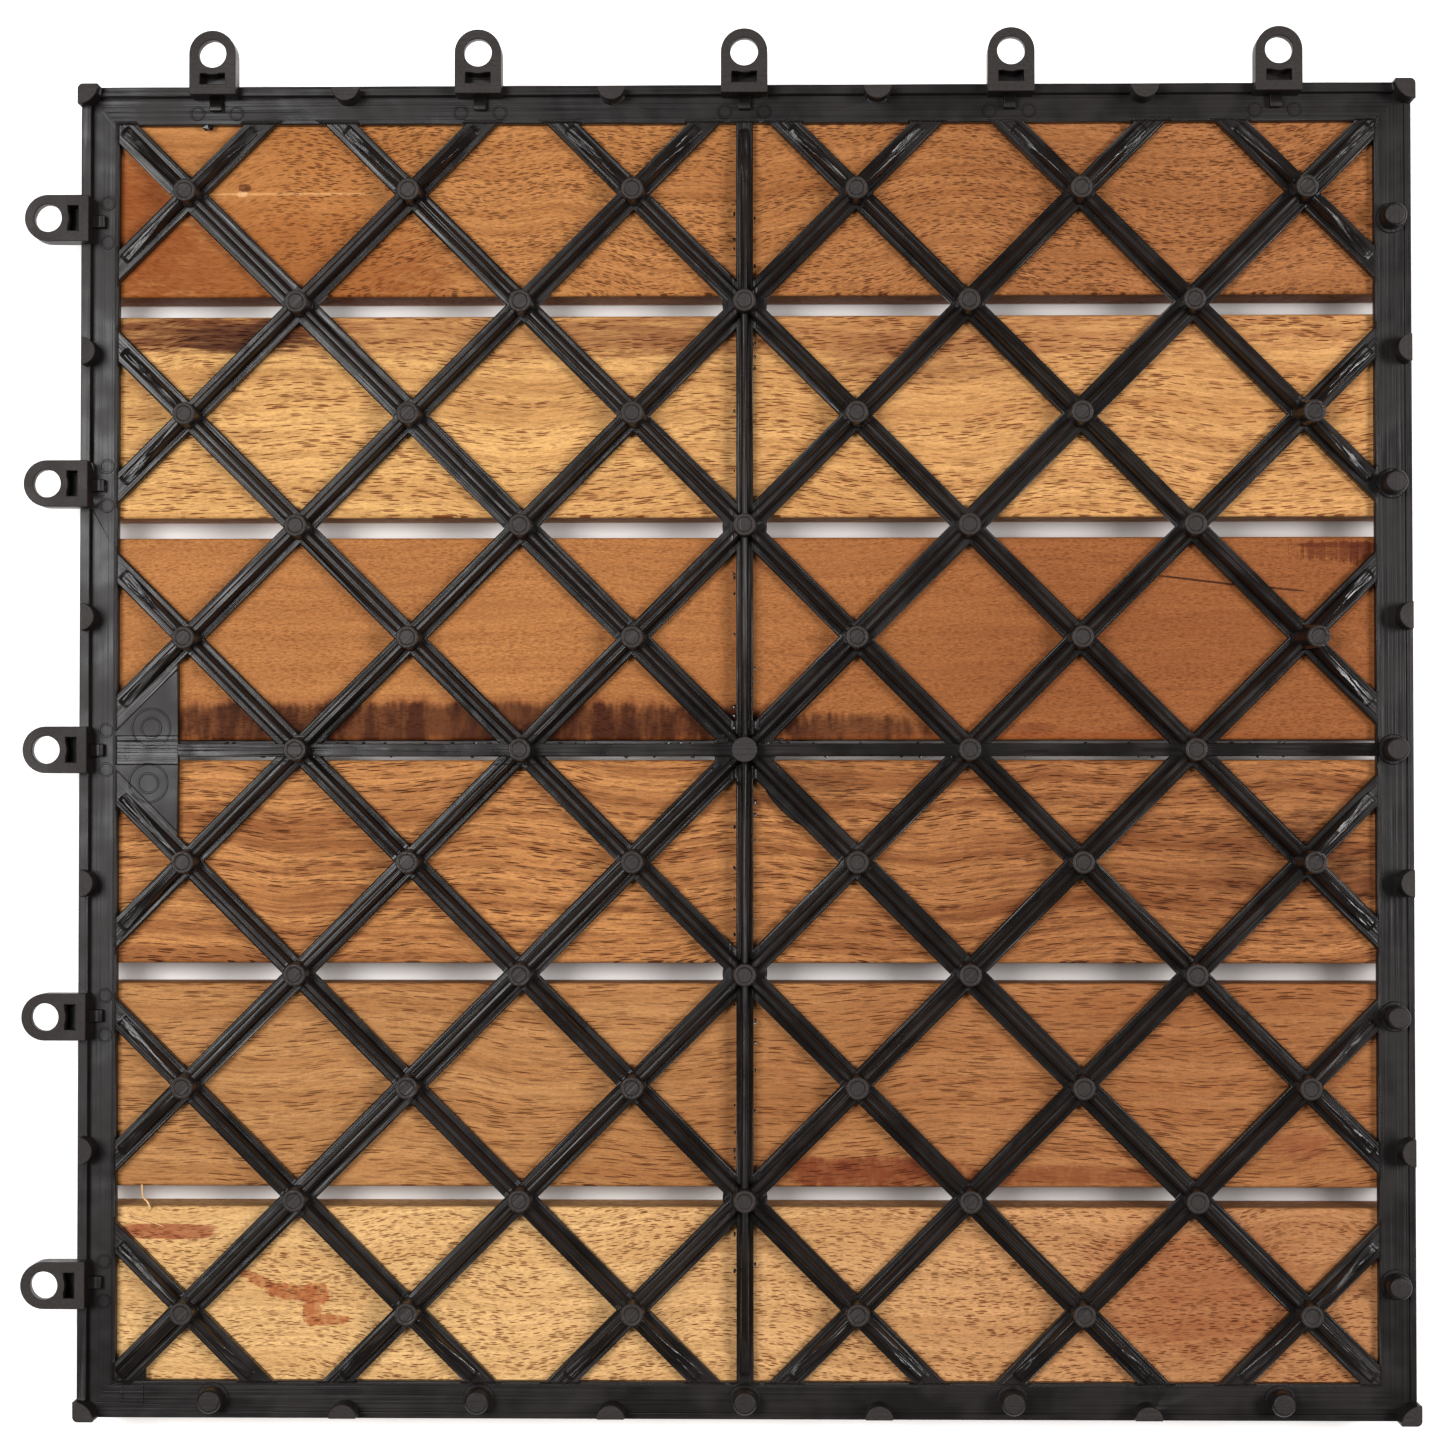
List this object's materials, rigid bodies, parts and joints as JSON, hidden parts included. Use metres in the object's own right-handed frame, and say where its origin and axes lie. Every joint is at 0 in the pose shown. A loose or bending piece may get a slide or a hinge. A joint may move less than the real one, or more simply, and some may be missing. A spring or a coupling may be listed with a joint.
{
  "type": "interlocking deck tile",
  "caption": "Square outdoor deck tile lying face down: hardwood slats on a dark moulded lattice base with short pegs, and loops and pins along its sides that join the next tiles.",
  "frame": {"origin": "centre of the tile in the plane of its walking face, which lies on Z = 0", "axes": "+Z from the walking face towards the base and its pegs, X along the slats; loops on the +Y and -X sides, pins on the -Y and +X sides; laid for use it is turned over by 180 degrees about X"},
  "size_m": [0.3097, 0.3097, 0.024],
  "materials": {
    "base_plastic": "moulded, satin with glossy streaks",
    "slat_1_wood": "planed and oiled",
    "slat_2_wood": "planed and oiled",
    "slat_3_wood": "planed and oiled",
    "slat_4_wood": "planed and oiled",
    "slat_5_wood": "planed and oiled",
    "slat_6_wood": "planed and oiled"
  },
  "bodies": {
    "root": {"base_grid": "base_plastic", "slat_1": "slat_1_wood", "slat_2": "slat_2_wood", "slat_3": "slat_3_wood", "slat_4": "slat_4_wood", "slat_5": "slat_5_wood", "slat_6": "slat_6_wood"}
  },
  "joints": []
}
